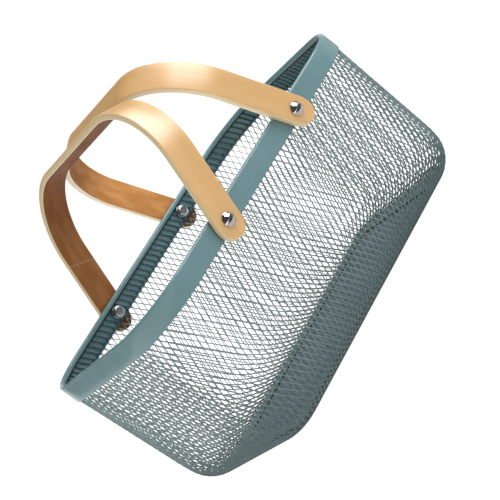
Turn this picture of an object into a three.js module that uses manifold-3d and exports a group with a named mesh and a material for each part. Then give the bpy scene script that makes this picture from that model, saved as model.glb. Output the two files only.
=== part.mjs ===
// Desk basket: a tub of expanded-metal mesh under a folded steel rim band, with two bentwood handles that
// swing on sleeve nuts. Millimetres, +Z up, +X along the long side, origin at the centre of the underside.
import * as THREE from 'three';
import { mergeVertices } from 'three/addons/utils/BufferGeometryUtils.js';
import Module from 'manifold-3d';

// Driving dimensions of the tub
const RIM_LENGTH = 260;
const RIM_DEPTH = 176.4;
const RIM_HEIGHT = 120.9;
const RIM_CORNER_RADIUS = 43.5;
const BASE_CORNER_RADIUS = 6;
const WALL_DRAFT_DEGREES = 3.2;
const SIDE_FOOT_RADIUS = 33;
const END_FOOT_RADIUS = 21;

// Expanded mesh: sheet, the strips left between the openings, and half the pitch of the openings
const MESH_SHEET = 1;
const STRAND_WIDTH = 1.8;
const OPENING_HALF_WIDTH = 12.5;
const OPENING_HALF_HEIGHT = 24;
const FOOT_OPENING_HALF_HEIGHT = 11.5;

// Rim band, folded over the top edge of the mesh
const BAND_HEIGHT = 14.5;
const BAND_SHEET = 0.8;
const BAND_LIP = 3.2;

// Handles: a strip of bent veneer, measured from the pivot to the outside of the grip
const HANDLE_WIDTH = 19.4;
const HANDLE_THICKNESS = 4.8;
const HANDLE_REACH = 98.8;
const HANDLE_BEND_RADIUS = 50.6;
const HANDLE_END_RADIUS = 12.5; // about the pivot
const HANDLE_EDGE = 0.7;
const GRIP_MEETING_X = 1.1; // where the two resting grips lean on each other

// Pivots and their hardware
const PIVOT_SPACING = 92.2;
const PIVOT_DROP = 8.7; // below the top of the rim
const DOME_DIAMETER = 9.4;
const DOME_HEIGHT = 3.2;
const DOME_EDGE = 0.7;
const SLEEVE_DIAMETER = 6.2;
const SLEEVE_END_WALL = 0.9;
const SCREW_DIAMETER = 4;
const SCREW_HEAD_DIAMETER = 8;
const SCREW_HEAD_HEIGHT = 2.5;
const SCREW_HEAD_ROUNDING = 0.9;
const CROSS_SLOT_LENGTH = 4.4;
const CROSS_SLOT_WIDTH = 1;
const CROSS_SLOT_DEPTH = 1.3;
const WASHER_DIAMETER = 9;
const WASHER_THICKNESS = 0.8;

// Clearances
const SEAT_GAP = 0.3; // between pieces that bear on each other, and round a screw or sleeve
const SWING_GAP = 0.6; // between a handle and the rim band

// Facets
const CORNER_STEPS = 6; // also the columns of openings in a rounded corner
const FOLD_STEPS = 4;
const BEND_STEPS = 10;
const ROUND_STEPS = 16;

const wasm = await Module();
wasm.setup();

const meshSteel = new THREE.MeshStandardMaterial({ color: 0x62787b, roughness: 0.55, metalness: 0.3 });
const bandSteel = new THREE.MeshStandardMaterial({ color: 0x76989d, roughness: 0.5, metalness: 0.3 });
const birch = new THREE.MeshStandardMaterial({ color: 0xdeb073, roughness: 0.45, metalness: 0 });
const chrome = new THREE.MeshStandardMaterial({ color: 0xd9dbdd, roughness: 0.08, metalness: 1 });
const zinc = new THREE.MeshStandardMaterial({ color: 0xb4b8ba, roughness: 0.35, metalness: 1 });

const basket = new THREE.Group();

function addMesh(name, geometry, material, parent = basket) {
  const mesh = new THREE.Mesh(geometry, material);
  mesh.name = name;
  parent.add(mesh);
  return mesh;
}

// Closed geometry to solid and back, for joins and cuts
function solidOf(geometry) {
  const bare = geometry.clone();
  bare.deleteAttribute('normal');
  bare.deleteAttribute('uv');
  const merged = mergeVertices(bare, 1e-4);
  return new wasm.Manifold(new wasm.Mesh({
    numProp: 3,
    vertProperties: new Float32Array(merged.attributes.position.array),
    triVerts: new Uint32Array(merged.index.array),
  }));
}

function geometryOf(solid) {
  const { numProp, vertProperties, triVerts } = solid.getMesh();
  const geometry = new THREE.BufferGeometry();
  const positions = new THREE.InterleavedBuffer(vertProperties, numProp);
  geometry.setAttribute('position', new THREE.InterleavedBufferAttribute(positions, 3, 0));
  geometry.setIndex(Array.from(triVerts));
  return geometry;
}

function indexedGeometry(points, triangles) {
  const geometry = new THREE.BufferGeometry().setFromPoints(points);
  geometry.setIndex(triangles);
  return geometry;
}

// Straight stretches of the rim outline, between its corner arcs
const sideLength = RIM_LENGTH - 2 * RIM_CORNER_RADIUS;
const endLength = RIM_DEPTH - 2 * RIM_CORNER_RADIUS;

// Point of a rounded corner, by quarter turn (0 is back right, then anticlockwise from above), run along
// the rim arc and height, where the end and side beside it lie endOut and sideOut from the rim outline
function cornerPoint(quarter, arcRun, { endOut, sideOut, radius, height }) {
  const centreX = (quarter === 0 || quarter === 3 ? 1 : -1) * (RIM_LENGTH / 2 + endOut - radius);
  const centreY = (quarter < 2 ? 1 : -1) * (RIM_DEPTH / 2 + sideOut - radius);
  const angle = quarter * Math.PI / 2 + arcRun / RIM_CORNER_RADIUS;
  return new THREE.Vector3(centreX + radius * Math.cos(angle), centreY + radius * Math.sin(angle), height);
}

// Wall profiles of the sides and the ends, outside face: rounded foot, draft, and a collar in the rim band.
// "out" is measured from the rim outline, and is negative inside it.
const foldRadius = BAND_SHEET + SEAT_GAP + MESH_SHEET / 2;
const collarOut = -(BAND_SHEET + SEAT_GAP);
const collarBottom = RIM_HEIGHT - BAND_HEIGHT;
const collarRun = BAND_HEIGHT - foldRadius;

const draft = THREE.MathUtils.degToRad(WALL_DRAFT_DEGREES);

function wallProfile(footRadius) {
  const footTop = footRadius * (1 - Math.sin(draft));
  const footTopOut = collarOut - (collarBottom - footTop) * Math.tan(draft);
  return { footRadius, footTop, footTopOut, footCentreOut: footTopOut - footRadius * Math.cos(draft) };
}

const sideProfile = wallProfile(SIDE_FOOT_RADIUS);
const endProfile = wallProfile(END_FOOT_RADIUS);

// Where the outside face of a profile lies at a height, and which way it faces
function faceAt({ footRadius, footTop, footTopOut, footCentreOut }, height) {
  if (height < footTop) {
    const turn = Math.acos(1 - height / footRadius);
    const out = footCentreOut + footRadius * Math.sin(turn);
    return { out, normalOut: Math.sin(turn), normalUp: -Math.cos(turn) };
  }
  if (height < collarBottom) {
    const out = footTopOut + (height - footTop) * Math.tan(draft);
    return { out, normalOut: Math.cos(draft), normalUp: -Math.sin(draft) };
  }
  return { out: collarOut, normalOut: 1, normalUp: 0 };
}

// Height on a wall by length run up the side profile from the edge of the flat base
const footRun = SIDE_FOOT_RADIUS * (Math.PI / 2 - draft);
const draftRun = (collarBottom - sideProfile.footTop) / Math.cos(draft);

function wallHeight(run) {
  if (run < footRun) {
    return SIDE_FOOT_RADIUS * (1 - Math.cos(run / SIDE_FOOT_RADIUS));
  }
  if (run < footRun + draftRun) {
    return sideProfile.footTop + (run - footRun) * Math.cos(draft);
  }
  return collarBottom + run - footRun - draftRun;
}

// The tub at a height: outside faces of its ends and sides, and the corners between them, which tighten
// towards the base
const baseOut = (endProfile.footCentreOut + sideProfile.footCentreOut) / 2;
const cornerTightening = (RIM_CORNER_RADIUS + collarOut - BASE_CORNER_RADIUS) / (collarOut - baseOut);

function tubAt(height) {
  const end = faceAt(endProfile, height);
  const side = faceAt(sideProfile, height);
  const radius = BASE_CORNER_RADIUS + ((end.out + side.out) / 2 - baseOut) * cornerTightening;
  return { end, side, radius };
}

// Expanded mesh. Lattice lines cross the sheet both ways. Their crossings are by turns a knot and the
// middle of a diamond opening, and each cell between four crossings holds one slanting strand.
const latticeSlant = Math.hypot(OPENING_HALF_WIDTH, OPENING_HALF_HEIGHT);
const knotHalfWidth = STRAND_WIDTH / 2 * latticeSlant / OPENING_HALF_HEIGHT;
const knotHalfHeight = STRAND_WIDTH / 2 * latticeSlant / OPENING_HALF_WIDTH;
const borderWidth = STRAND_WIDTH / 2;

function latticeLines(start, end, spacing, multiple = 1) {
  const steps = multiple * Math.max(1, Math.round((end - start) / spacing / multiple));
  return Array.from({ length: steps + 1 }, (_, k) => start + (end - start) * k / steps);
}

function netCells(columns, rows, topBorder) {
  const cells = [];
  const lastColumn = columns.length - 1;
  const lastRow = rows.length - 1;
  const isKnot = (i, j) => (i + j + lastRow) % 2 === 0;
  for (let i = 0; i < lastColumn; i += 1) {
    for (let j = 0; j < lastRow; j += 1) {
      const [left, right, low, high] = [columns[i], columns[i + 1], rows[j], rows[j + 1]];
      cells.push(isKnot(i, j)
        ? [[left, low], [left + knotHalfWidth, low], [right, high - knotHalfHeight],
          [right, high], [right - knotHalfWidth, high], [left, low + knotHalfHeight]]
        : [[right, low], [right, low + knotHalfHeight], [left + knotHalfWidth, high],
          [left, high], [left, high - knotHalfHeight], [right - knotHalfWidth, low]]);
    }
  }
  const [left, right] = [columns[0], columns[lastColumn]];
  const [bottom, top] = [rows[0], rows[lastRow]];
  const [leftEdge, rightEdge] = [left - borderWidth, right + borderWidth];
  const [bottomEdge, topEdge] = [bottom - borderWidth, top + topBorder];
  for (let j = 0; j < lastRow; j += 1) {
    const [low, high] = [rows[j], rows[j + 1]];
    const leftWaist = isKnot(0, j) ? low + knotHalfHeight : high - knotHalfHeight;
    const rightWaist = isKnot(lastColumn, j) ? low + knotHalfHeight : high - knotHalfHeight;
    cells.push([[leftEdge, low], [left, low], [left, leftWaist], [left, high], [leftEdge, high]]);
    cells.push([[rightEdge, low], [rightEdge, high], [right, high], [right, rightWaist], [right, low]]);
  }
  for (let i = 0; i < lastColumn; i += 1) {
    const [from, to] = [columns[i], columns[i + 1]];
    const lowWaist = isKnot(i, 0) ? from + knotHalfWidth : to - knotHalfWidth;
    const topWaist = isKnot(i, lastRow) ? from + knotHalfWidth : to - knotHalfWidth;
    cells.push([[from, bottomEdge], [to, bottomEdge], [to, bottom], [lowWaist, bottom], [from, bottom]]);
    cells.push([[to, topEdge], [from, topEdge], [from, top], [topWaist, top], [to, top]]);
  }
  for (const [x0, x1] of [[leftEdge, left], [right, rightEdge]]) {
    for (const [y0, y1] of [[bottomEdge, bottom], [top, topEdge]]) {
      cells.push([[x0, y0], [x1, y0], [x1, y1], [x0, y1]]);
    }
  }
  return cells;
}

// Thickens convex cells that share corners into one closed sheet. place(u, v, depth) gives a point in
// space, with u to the right and v upwards when the outside face is looked at.
function sheetGeometry(cells, place) {
  const indexOf = new Map();
  const outline = new Set();
  const points = [];
  const triangles = [];
  const cornerIndex = ([u, v]) => {
    const key = `${u.toFixed(4)} ${v.toFixed(4)}`;
    if (!indexOf.has(key)) {
      indexOf.set(key, points.length);
      points.push(place(u, v, 0), place(u, v, MESH_SHEET));
    }
    return indexOf.get(key);
  };
  for (const cell of cells) {
    const corners = cell.map(cornerIndex);
    for (let k = 1; k + 1 < corners.length; k += 1) {
      const [a, b, c] = [corners[0], corners[k], corners[k + 1]];
      triangles.push(a, b, c, a + 1, c + 1, b + 1);
    }
    corners.forEach((a, k) => outline.add(`${a} ${corners[(k + 1) % corners.length]}`));
  }
  for (const edge of outline) {
    const [a, b] = edge.split(' ').map(Number);
    if (!outline.has(`${b} ${a}`)) {
      triangles.push(a, a + 1, b, b, a + 1, b + 1);
    }
  }
  return indexedGeometry(points, triangles);
}

// Walls: openings up to the rim band, and a plain collar inside it
const wallRows = [
  ...latticeLines(borderWidth, footRun, FOOT_OPENING_HALF_HEIGHT),
  ...latticeLines(footRun, footRun + draftRun, OPENING_HALF_HEIGHT).slice(1),
];

// Pivot axes run along Y, through the collars of the two sides
const pivotX = PIVOT_SPACING / 2;
const pivotZ = RIM_HEIGHT - PIVOT_DROP;
const screwHoleRadius = SCREW_DIAMETER / 2 + SEAT_GAP;

function boltHoles() {
  const hole = new THREE.CylinderGeometry(screwHoleRadius, screwHoleRadius, 2 * RIM_DEPTH, ROUND_STEPS);
  const right = solidOf(hole.clone().translate(pivotX, 0, pivotZ));
  return right.add(solidOf(hole.translate(-pivotX, 0, pivotZ)));
}

function straightWallCells(length) {
  const end = length / 2 - SEAT_GAP - borderWidth;
  return netCells(latticeLines(-end, end, OPENING_HALF_WIDTH, 2), wallRows, collarRun);
}

// Straight walls stretch or narrow with height to end at the corners. Depth runs from 0 at the outside face.
function sideWall() {
  const wall = sheetGeometry(straightWallCells(sideLength), (u, v, depth) => {
    const height = wallHeight(v);
    const { end, side, radius } = tubAt(height);
    const stretch = (RIM_LENGTH / 2 + end.out - radius - SEAT_GAP) / (sideLength / 2 - SEAT_GAP);
    const y = -(RIM_DEPTH / 2 + side.out - depth * side.normalOut);
    return new THREE.Vector3(u * stretch, y, height - depth * side.normalUp);
  });
  return geometryOf(solidOf(wall).subtract(boltHoles()));
}

function endWall() {
  return sheetGeometry(straightWallCells(endLength), (u, v, depth) => {
    const height = wallHeight(v);
    const { end, side, radius } = tubAt(height);
    const stretch = (RIM_DEPTH / 2 + side.out - radius - SEAT_GAP) / (endLength / 2 - SEAT_GAP);
    const x = RIM_LENGTH / 2 + end.out - depth * end.normalOut;
    return new THREE.Vector3(x, u * stretch, height - depth * end.normalUp);
  });
}

// Rounded corners share their facets with the rim band that they stand in
const cornerArc = RIM_CORNER_RADIUS * Math.PI / 2;
const cornerLattice = cornerArc - 2 * borderWidth;
const cornerColumns = latticeLines(borderWidth, cornerArc - borderWidth, cornerLattice / CORNER_STEPS);

function cornerWall(quarter) {
  return sheetGeometry(netCells(cornerColumns, wallRows, collarRun), (u, v, depth) => {
    const height = wallHeight(v);
    const { end, side, radius } = tubAt(height);
    return cornerPoint(quarter, u, {
      endOut: end.out - depth * end.normalOut,
      sideOut: side.out - depth * side.normalOut,
      radius: radius - depth * (end.normalOut + side.normalOut) / 2,
      height: height - depth * (end.normalUp + side.normalUp) / 2,
    });
  });
}

// Flat base inside the turned-in foot, with its lattice drawn in to the rounded corners
function basePanel() {
  const halfLength = RIM_LENGTH / 2 + endProfile.footCentreOut - SEAT_GAP;
  const halfDepth = RIM_DEPTH / 2 + sideProfile.footCentreOut - SEAT_GAP;
  const radius = BASE_CORNER_RADIUS - SEAT_GAP;
  const across = halfLength - borderWidth;
  const along = halfDepth - borderWidth;
  const columns = latticeLines(-across, across, OPENING_HALF_WIDTH, 2);
  const rows = latticeLines(-along, along, OPENING_HALF_HEIGHT, 2);
  return sheetGeometry(netCells(columns, rows, borderWidth), (u, v, depth) => {
    const x = Math.max(0, Math.abs(u) - halfLength + radius) / radius;
    const y = Math.max(0, Math.abs(v) - halfDepth + radius) / radius;
    const drawnX = Math.abs(u) - radius * x * (1 - Math.sqrt(1 - y * y / 2));
    const drawnY = Math.abs(v) - radius * y * (1 - Math.sqrt(1 - x * x / 2));
    return new THREE.Vector3(Math.sign(u) * drawnX, -Math.sign(v) * drawnY, depth);
  });
}

// Rim band: outer leg, round fold over the mesh edge and a short lip inside, run round the rim outline
function bandSection() {
  const foldCentre = RIM_HEIGHT - foldRadius;
  const arc = (radius, from, to) => Array.from({ length: FOLD_STEPS + 1 }, (_, k) => {
    const angle = Math.PI * (from + (to - from) * k / FOLD_STEPS);
    return [-foldRadius + radius * Math.cos(angle), foldCentre + radius * Math.sin(angle)];
  });
  const lipBottom = RIM_HEIGHT - BAND_LIP;
  return [
    [0, collarBottom],
    ...arc(foldRadius, 0, 1),
    [-2 * foldRadius, lipBottom],
    [-2 * foldRadius + BAND_SHEET, lipBottom],
    ...arc(foldRadius - BAND_SHEET, 1, 0),
    [-BAND_SHEET, collarBottom],
  ];
}

function rimBand() {
  const section = bandSection();
  const arcRuns = [0, ...cornerColumns, cornerArc];
  const stations = [0, 1, 2, 3].flatMap((quarter) => arcRuns.map((arcRun) => ({ quarter, arcRun })));
  const points = stations.flatMap(({ quarter, arcRun }) => section.map(([out, height]) => (
    cornerPoint(quarter, arcRun, { endOut: out, sideOut: out, radius: RIM_CORNER_RADIUS + out, height }))));
  const triangles = [];
  stations.forEach((_, station) => {
    const here = station * section.length;
    const next = (station + 1) % stations.length * section.length;
    section.forEach((__, k) => {
      const after = (k + 1) % section.length;
      triangles.push(here + k, next + k, next + after, here + k, next + after, here + after);
    });
  });
  return geometryOf(solidOf(indexedGeometry(points, triangles)).subtract(boltHoles()));
}

// Handle, upright with its pivot axis along Y through the origin
const armInside = RIM_DEPTH / 2 + SWING_GAP;
const armOutside = armInside + HANDLE_THICKNESS;

function handleGeometry() {
  const bendCentreY = armOutside - HANDLE_BEND_RADIUS;
  const bendCentreZ = HANDLE_REACH - HANDLE_BEND_RADIUS;
  const innerRadius = HANDLE_BEND_RADIUS - HANDLE_THICKNESS;
  const armEnd = -HANDLE_WIDTH;
  const bow = new THREE.Shape();
  bow.moveTo(armOutside, armEnd);
  bow.absarc(bendCentreY, bendCentreZ, HANDLE_BEND_RADIUS, 0, Math.PI / 2, false);
  bow.absarc(-bendCentreY, bendCentreZ, HANDLE_BEND_RADIUS, Math.PI / 2, Math.PI, false);
  bow.lineTo(-armOutside, armEnd);
  bow.lineTo(-armInside, armEnd);
  bow.absarc(-bendCentreY, bendCentreZ, innerRadius, Math.PI, Math.PI / 2, true);
  bow.absarc(bendCentreY, bendCentreZ, innerRadius, Math.PI / 2, 0, true);
  bow.lineTo(armInside, armEnd);
  const strip = new THREE.ExtrudeGeometry(bow, {
    depth: HANDLE_WIDTH - 2 * HANDLE_EDGE,
    curveSegments: BEND_STEPS / 2, // an arc gets two facets for each
    bevelThickness: HANDLE_EDGE,
    bevelSize: HANDLE_EDGE,
    bevelOffset: -HANDLE_EDGE,
    bevelSegments: 1,
  });
  strip.translate(0, 0, HANDLE_EDGE - HANDLE_WIDTH / 2);
  strip.rotateX(Math.PI / 2).rotateZ(Math.PI / 2);

  // Front view: clear of the strip's edges above, and cut round about the pivot below
  const clearHalfWidth = HANDLE_WIDTH / 2 + SEAT_GAP;
  const endTurn = Math.acos(clearHalfWidth / HANDLE_END_RADIUS);
  const face = new THREE.Shape();
  face.moveTo(clearHalfWidth, 2 * HANDLE_REACH);
  face.lineTo(-clearHalfWidth, 2 * HANDLE_REACH);
  face.absarc(0, 0, HANDLE_END_RADIUS, Math.PI + endTurn, 2 * Math.PI - endTurn, false);
  const sleeveHole = new THREE.Path();
  sleeveHole.absarc(0, 0, SLEEVE_DIAMETER / 2 + SEAT_GAP, 0, 2 * Math.PI, true);
  face.holes.push(sleeveHole);
  const faceBlock = new THREE.ExtrudeGeometry(face, {
    depth: 2 * RIM_DEPTH,
    curveSegments: ROUND_STEPS / 2,
    bevelEnabled: false,
  });
  faceBlock.translate(0, 0, -RIM_DEPTH).rotateX(Math.PI / 2);
  return geometryOf(solidOf(strip).intersect(solidOf(faceBlock)));
}

// Lean of a resting handle whose grip edge reaches the given distance in from its pivot
function restingLean(reachIn) {
  const slant = Math.hypot(HANDLE_REACH, HANDLE_WIDTH / 2);
  return Math.asin(reachIn / slant) - Math.atan2(HANDLE_WIDTH / 2, HANDLE_REACH);
}

// Pivot hardware, turned about Y, with y = 0 on the outside of the rim band and +y outwards
const domeSeat = SWING_GAP + HANDLE_THICKNESS + SEAT_GAP;
const washerOuter = -(BAND_SHEET + SEAT_GAP + MESH_SHEET + SEAT_GAP);
const headSeat = washerOuter - WASHER_THICKNESS - SEAT_GAP;

function turned(profile) {
  return new THREE.LatheGeometry(profile.map(([radius, y]) => new THREE.Vector2(radius, y)), ROUND_STEPS);
}

function sleeveNut() {
  const capHeight = DOME_HEIGHT - DOME_EDGE;
  const domeRadius = DOME_DIAMETER / 2;
  const capRadius = (domeRadius ** 2 + capHeight ** 2) / (2 * capHeight);
  const capTurn = Math.asin(domeRadius / capRadius);
  const capCentre = domeSeat + DOME_HEIGHT - capRadius;
  const cap = Array.from({ length: FOLD_STEPS + 1 }, (_, k) => {
    const angle = capTurn * (1 - k / FOLD_STEPS);
    return [capRadius * Math.sin(angle), capCentre + capRadius * Math.cos(angle)];
  });
  return turned([
    [0, domeSeat - SLEEVE_END_WALL],
    [screwHoleRadius, domeSeat - SLEEVE_END_WALL],
    [screwHoleRadius, SEAT_GAP],
    [SLEEVE_DIAMETER / 2, SEAT_GAP],
    [SLEEVE_DIAMETER / 2, domeSeat],
    [domeRadius, domeSeat],
    ...cap.slice(0, -1),
    [0, domeSeat + DOME_HEIGHT],
  ]);
}

function panScrew() {
  const headRadius = SCREW_HEAD_DIAMETER / 2;
  const headTop = headSeat - SCREW_HEAD_HEIGHT;
  const screwTip = domeSeat - SLEEVE_END_WALL - SEAT_GAP;
  const body = solidOf(turned([
    [0, headTop],
    [headRadius - 2 * SCREW_HEAD_ROUNDING, headTop],
    [headRadius - SCREW_HEAD_ROUNDING * 0.6, headTop + SCREW_HEAD_ROUNDING * 0.5],
    [headRadius, headTop + 1.5 * SCREW_HEAD_ROUNDING],
    [headRadius, headSeat],
    [SCREW_DIAMETER / 2, headSeat],
    [SCREW_DIAMETER / 2, screwTip],
    [0, screwTip],
  ]));
  const slot = new THREE.BoxGeometry(CROSS_SLOT_LENGTH, 2 * CROSS_SLOT_DEPTH, CROSS_SLOT_WIDTH);
  slot.translate(0, headTop, 0);
  const cross = solidOf(slot.clone()).add(solidOf(slot.rotateY(Math.PI / 2)));
  return geometryOf(body.subtract(cross));
}

function washer() {
  const [inner, outer] = [screwHoleRadius, WASHER_DIAMETER / 2];
  const washerInner = washerOuter - WASHER_THICKNESS;
  return turned([
    [inner, washerInner],
    [outer, washerInner],
    [outer, washerOuter],
    [inner, washerOuter],
    [inner, washerInner],
  ]);
}

// Tub
const sideWallGeometry = sideWall();
const endWallGeometry = endWall();
addMesh('mesh_front', sideWallGeometry, meshSteel);
addMesh('mesh_back', sideWallGeometry, meshSteel).rotation.z = Math.PI;
addMesh('mesh_right', endWallGeometry, meshSteel);
addMesh('mesh_left', endWallGeometry, meshSteel).rotation.z = Math.PI;
addMesh('mesh_corner_back_right', cornerWall(0), meshSteel);
addMesh('mesh_corner_back_left', cornerWall(1), meshSteel);
addMesh('mesh_corner_front_left', cornerWall(2), meshSteel);
addMesh('mesh_corner_front_right', cornerWall(3), meshSteel);
addMesh('mesh_base', basePanel(), meshSteel);
addMesh('rim_band', rimBand(), bandSteel);

// Handles, each leaning in on its pivots until the grips meet, and the hardware of their four pivots
const handleShape = handleGeometry();
const nutShape = sleeveNut();
const screwShape = panScrew();
const washerShape = washer();
for (const [side, sign] of [['left', -1], ['right', 1]]) {
  const pivot = new THREE.Group();
  pivot.position.set(sign * pivotX, 0, pivotZ);
  basket.add(pivot);
  const lean = restingLean(pivotX - sign * GRIP_MEETING_X - SEAT_GAP / 2);
  addMesh(`handle_${side}`, handleShape, birch, pivot).rotation.y = -sign * lean;
  for (const [face, turn] of [['front', Math.PI], ['back', 0]]) {
    const stack = new THREE.Group();
    stack.rotation.z = turn;
    stack.position.y = (face === 'front' ? -1 : 1) * RIM_DEPTH / 2;
    pivot.add(stack);
    addMesh(`sleeve_nut_${face}_${side}`, nutShape, chrome, stack);
    addMesh(`screw_${face}_${side}`, screwShape, zinc, stack);
    addMesh(`washer_${face}_${side}`, washerShape, zinc, stack);
  }
}

export default basket;
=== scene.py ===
import math

import bmesh
import bpy
from mathutils import Matrix, Vector


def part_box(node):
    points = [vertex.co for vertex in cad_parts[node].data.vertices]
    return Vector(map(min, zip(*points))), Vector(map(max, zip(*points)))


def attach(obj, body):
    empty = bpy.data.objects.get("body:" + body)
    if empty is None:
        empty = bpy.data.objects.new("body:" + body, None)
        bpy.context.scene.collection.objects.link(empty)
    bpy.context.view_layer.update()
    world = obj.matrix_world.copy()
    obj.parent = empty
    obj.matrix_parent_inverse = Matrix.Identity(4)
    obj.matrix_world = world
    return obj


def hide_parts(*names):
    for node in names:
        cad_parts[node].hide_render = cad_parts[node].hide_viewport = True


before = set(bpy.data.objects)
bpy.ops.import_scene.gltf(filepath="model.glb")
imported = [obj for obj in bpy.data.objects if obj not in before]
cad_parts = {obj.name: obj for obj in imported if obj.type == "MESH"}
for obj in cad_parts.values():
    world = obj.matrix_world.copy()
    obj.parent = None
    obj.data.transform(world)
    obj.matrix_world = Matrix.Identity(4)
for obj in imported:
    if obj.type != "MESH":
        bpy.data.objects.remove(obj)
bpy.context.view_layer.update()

# Sizes are millimetres, and make_piece turns them into metres. Lights, flags and the floor are in metres.
MM = 0.001


def node_box(node):
    low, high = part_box(node)
    return low / MM, high / MM


# Tub, from the rim outline down
rim_low, rim_high = node_box("rim_band")
HALF_LENGTH, HALF_DEPTH, RIM_TOP = rim_high
BAND_BOTTOM = rim_low.z
CORNER_RADIUS = 43.5
BASE_CORNER_RADIUS = 6.0
DRAFT = math.radians(3.2)
SIDE_FOOT_RADIUS = 33.0
END_FOOT_RADIUS = 21.0
BAND_SHEET = 0.8
BAND_LIP = 3.2
BAND_EDGE = 0.25
# Painted shadow under the band's lip: height of the dark ring, its gap from the mesh and its depth
LIP_SHADOW_HEIGHT = 0.9
LIP_SHADOW_GAP = 0.05
LIP_SHADOW_DEPTH = 0.2
MESH_ROOM = 1.0
SEAT_GAP = 0.3
SWING_GAP = 0.6

# Expanded mesh: half pitches of its diamonds, strand, sheet and the strands' tilt out of the sheet
DIAMOND_HALF_WIDTH = 2.31
DIAMOND_HALF_HEIGHT = 4.56
STRAND_WIDTH = 0.38
STRAND_SHEET = 0.68
STRAND_TILT = 0.2
RIB_WIDTH = 0.8
WALL_BORDER = 0.5
BASE_STRAND_WIDTH = 1.1
BASE_BORDER = 0.9
BASE_SHEET = 1.1
BASE_LIFT = 0.75

# Towards the base the strands of the walls widen and thicken, and end on a plain strip
FOOT_STRAND_GAIN = 1.5
FOOT_GAIN_RUN = 40.0
FOOT_SHEET = 0.9
FOOT_STRIP_ROWS = 2
FOOT_STRIP_STEPS = 4

# Painted shade on the mesh's paint: heights between which it lightens out of the darker foot colour, and the
# painted shadow on undersides along the edge of the foot, by height and by the upward share of a face's
# normal
FOOT_SHADE_LOW = 2.0
FOOT_SHADE_TOP = 38.0
EDGE_SHADE_LOW = 4.0
EDGE_SHADE_TOP = 5.5
UNDERSIDE_FROM = -0.03
UNDERSIDE_FULL = -0.12

# Plain strip round the flat base, and the dark slots of painted shade along the seam inside it
SEAM_END_INSET = 9.0
SEAM_SIDE_INSET = 4.0
STRIP_STEPS = 400
STRIP_RISE = 1.0
SLOT_LENGTH = 2.8
SLOT_DEPTH = 0.3
SLOT_MARGIN = 0.05

# Handles
HANDLE_WIDTH = 19.4
HANDLE_THICKNESS = 4.8
HANDLE_REACH = 98.8
HANDLE_BEND_RADIUS = 50.6
HANDLE_END_RADIUS = 12.5
HANDLE_END_FULLNESS = 0.86
HANDLE_EDGE = 0.9
HANDLE_EDGE_LIMIT = 0.8
PLY_COUNT = 5
GRIP_MEETING_X = 1.1

# Inner faces of the handles: depth of what counts as one, and heights above the pivot where their painted
# shade goes over to the grip's and to the full painted shade of the ends
INNER_FACE_DEPTH = 0.3
GRIP_SHADE_FROM = 50.0
GRIP_SHADE_RUN = 40.0
END_SHADE_FROM = -3.0
END_SHADE_RUN = 3.0

# Splice of the inner veneer, on the back arm of the left handle
SPLICE_UP = 41.0
SPLICE_SLANT = 0.18
SPLICE_WIDTH = 0.6

# Pivot hardware
DOME_DIAMETER = 9.4
DOME_HEIGHT = 3.2
DOME_EDGE = 0.7
DOME_CHAMFER = 0.2
SCREW_HEAD_DIAMETER = 8.0
SCREW_HEAD_HEIGHT = 2.5
SCREW_HEAD_CROWN = 1.35
SCREW_HEAD_FLAT_SHARE = 0.55
CROSS_SLOT_LENGTH = 4.4
CROSS_SLOT_WIDTH = 1.0
CROSS_SLOT_DEPTH = 1.3
WASHER_DIAMETER = 9.0
WASHER_HOLE = 4.6
WASHER_THICKNESS = 0.8
WASHER_EDGE = 0.15

# Steps of the round forms
CORNER_STEPS = 20
FOLD_STEPS = 10
BAND_EDGE_STEPS = 3
LIP_EDGE_STEPS = 6
BEND_STEPS = 28
END_STEPS = 14
HANDLE_EDGE_STEPS = 4
TURN_STEPS = 48
DOME_STEPS = 12
CROWN_STEPS = 8

# Angles in degrees above which an edge between faces stays sharp
SHARP_ANGLE = 35
BAND_SHARP_ANGLE = 40
HANDLE_SHARP_ANGLE = 50

# Camera, as found from the rim, foot and pivots in the photograph
CAMERA_AZIMUTH = math.radians(-31.025)
CAMERA_ELEVATION = math.radians(9.497)
CAMERA_ROLL = math.radians(-53.408)
CAMERA_DISTANCE = 1150.174
CAMERA_TARGET = Vector((0, 0, 90))
CAMERA_ASIDE = -1.931
CAMERA_BELOW = -15.862
FOCAL_PIXELS = 1795.224
FRAME_PIXELS = 500
SENSOR_WIDTH = 36.0
CLIP_END = 100

# Studio. The sweep's limits are on the upward and backward parts of the direction of view.
FLOOR_SIZE = 60
FLAG_GLOW_COLOUR = (1, 0.92, 0.88, 1)
STUDIO_COLOUR = (0.06, 0.06, 0.06)
SWEEP_COLOUR = (1.15, 1.15, 1.15)
SWEEP_HEIGHT_LIMITS = (0.26, 0.16)
SWEEP_SIDE_LIMITS = (-0.25, 0.05)

NETS = ["mesh_front", "mesh_back", "mesh_left", "mesh_right"]
NETS += [f"mesh_corner_{end}_{side}" for end in ("front", "back") for side in ("left", "right")]


# Meshes
def make_piece(name, points, faces, material, slot, body, nodes, sharp=SHARP_ANGLE):
    """An object that rides on a body. With no sharp angle its faces are flat."""
    mesh = bpy.data.meshes.new(name)
    mesh.from_pydata([Vector(p) * MM for p in points], [], faces)
    mesh.materials.append(material)
    if sharp:
        mesh.shade_smooth()
        mesh.set_sharp_from_angle(angle=math.radians(sharp))
    obj = bpy.data.objects.new(name, mesh)
    bpy.context.collection.objects.link(obj)
    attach(obj, body)
    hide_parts(*nodes)
    return obj


def face_outwards(obj):
    work = bmesh.new()
    work.from_mesh(obj.data)
    bmesh.ops.recalc_face_normals(work, faces=work.faces)
    work.to_mesh(obj.data)
    work.free()


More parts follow.
